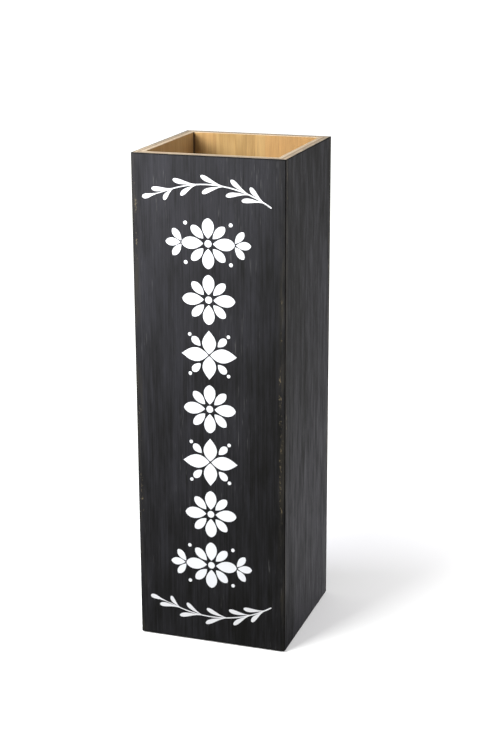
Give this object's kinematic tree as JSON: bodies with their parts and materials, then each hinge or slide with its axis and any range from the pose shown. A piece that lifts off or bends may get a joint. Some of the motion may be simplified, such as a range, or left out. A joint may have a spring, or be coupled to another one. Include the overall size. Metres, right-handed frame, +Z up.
{
  "type": "umbrella stand",
  "caption": "Tall square open-topped wooden box that holds closed umbrellas upright over a lift-out drip tray.",
  "frame": {"origin": "on the ground, under the middle of the stand", "axes": "+Z up along the stand's height; the decorated front wall faces -Y; +X is the stand's right as seen from the front"},
  "size_m": [0.189, 0.189, 0.61],
  "materials": {
    "stained_wall": "black-stained brushed plywood outside, bare golden wood inside and on the rim",
    "bare_plywood": "bare sanded plywood",
    "bare_pine": "bare sawn pine",
    "pin_steel": "galvanised",
    "felt": "pressed felt",
    "tray_plastic": "black moulded plastic with a fine matt texture",
    "white_paint": "flat white stencil paint over the stain"
  },
  "bodies": {
    "stand": {"front_panel": "stained_wall", "right_panel": "stained_wall", "back_panel": "stained_wall", "left_panel": "stained_wall", "base_panel": "bare_plywood", "front_batten": "bare_pine", "right_batten": "bare_pine", "back_batten": "bare_pine", "left_batten": "bare_pine", "front_right_corner_pins": "pin_steel", "back_right_corner_pins": "pin_steel", "back_left_corner_pins": "pin_steel", "front_left_corner_pins": "pin_steel", "batten_pins": "pin_steel", "base_pins": "pin_steel", "front_right_felt_pad": "felt", "back_right_felt_pad": "felt", "back_left_felt_pad": "felt", "front_left_felt_pad": "felt"},
    "tray": {"drip_tray": "tray_plastic"}
  },
  "joints": [
    {"name": "tray_lift", "type": "slide", "parent": "stand", "child": "tray", "axis": [0, 0, 1], "range_m": [0, 0.6]}
  ]
}
